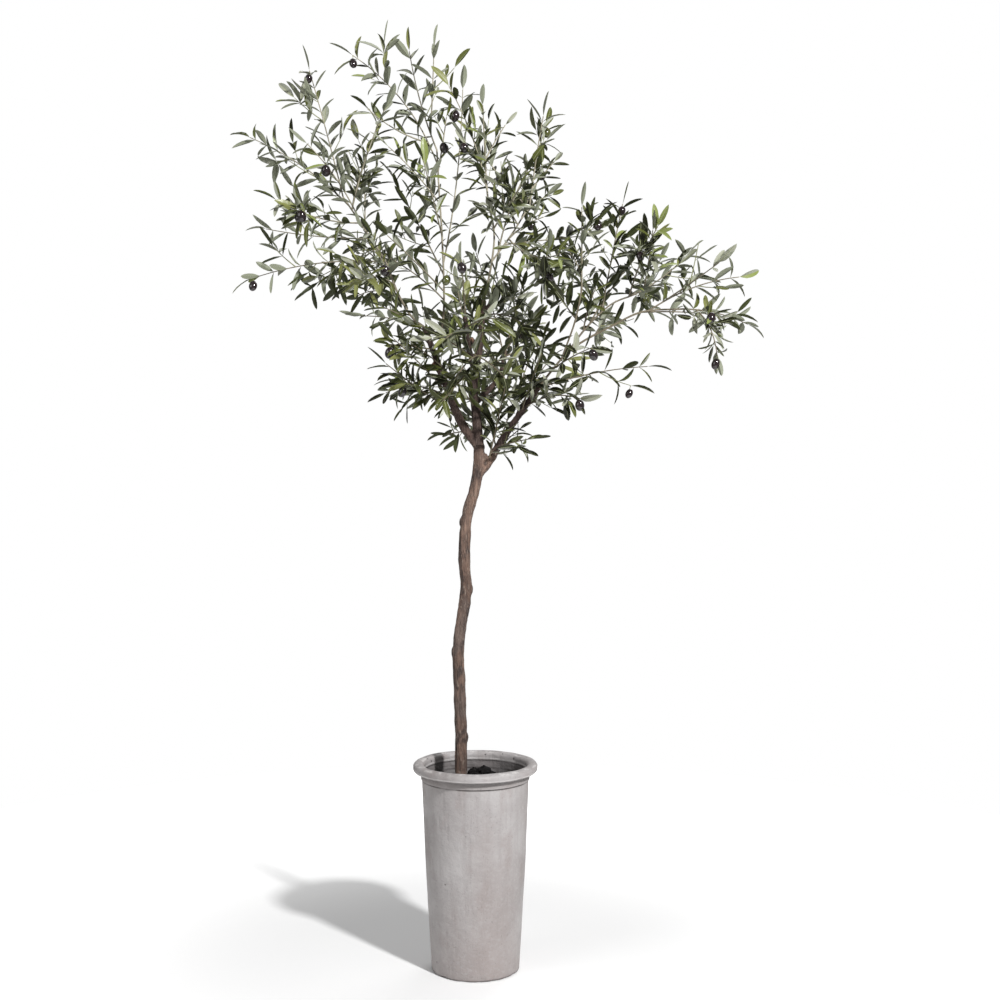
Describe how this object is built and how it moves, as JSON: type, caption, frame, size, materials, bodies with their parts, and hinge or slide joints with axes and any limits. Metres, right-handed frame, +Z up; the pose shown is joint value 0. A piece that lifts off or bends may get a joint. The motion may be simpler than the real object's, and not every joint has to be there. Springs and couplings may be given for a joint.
{
  "type": "artificial olive tree in a pot",
  "caption": "Artificial olive tree with one slim trunk, branching boughs and an open, airy crown of narrow leaves and dark olives, in a tall tapered round pot.",
  "frame": {"origin": "centre of the pot's flat underside", "axes": "+Z up along the pot's axis, -Y towards the viewer of the front, +X to that viewer's right"},
  "size_m": [1.3128, 0.8718, 2.2944],
  "materials": {
    "pot": "matte, mottled fibre clay",
    "soil": "rough dark bark mulch",
    "trunk": "matte brown bark",
    "bough": "matte dark brown bark",
    "limb": "matte pale tan stem",
    "foliage": "satin grey-green leaf"
  },
  "bodies": {
    "root": {"pot": "pot", "soil": "soil", "trunk": "trunk", "left_bough": "bough", "centre_bough": "bough", "right_bough": "bough", "back_bough": "bough", "front_bough": "bough", "left_limb": "limb", "spire_limb": "limb", "centre_limb": "limb", "centre_right_limb": "limb", "right_limb": "limb", "upper_right_limb": "limb", "right_centre_limb": "limb", "foliage_top_left": "foliage", "foliage_top": "foliage", "foliage_top_centre": "foliage", "foliage_top_right": "foliage", "foliage_right_top": "foliage", "foliage_front_top": "foliage", "foliage_left_top": "foliage", "foliage_left_upper": "foliage", "foliage_left_front_upper": "foliage", "foliage_left_back_upper": "foliage", "foliage_left_lower": "foliage", "foliage_left_front": "foliage", "foliage_left_back": "foliage", "foliage_upper_left_front": "foliage", "foliage_upper_left_back": "foliage", "foliage_upper_front": "foliage", "foliage_left_inner": "foliage", "foliage_lower_left": "foliage", "foliage_lower_left_drop": "foliage", "foliage_fork_left": "foliage", "foliage_fork_right": "foliage", "foliage_lower_right": "foliage", "foliage_right_lower": "foliage", "foliage_right_front": "foliage", "foliage_right_back": "foliage", "foliage_right_upper": "foliage", "foliage_right_tip": "foliage", "foliage_upper_right": "foliage", "foliage_upper_right_inner": "foliage", "foliage_right_centre": "foliage", "foliage_right_centre_back": "foliage", "foliage_right_centre_front": "foliage", "foliage_front_low": "foliage", "foliage_front_upper": "foliage", "foliage_front_drop": "foliage", "foliage_back_right": "foliage", "foliage_back_upper": "foliage", "foliage_back_left": "foliage", "foliage_back_drop": "foliage", "foliage_centre": "foliage", "foliage_centre_left": "foliage"}
  },
  "joints": []
}
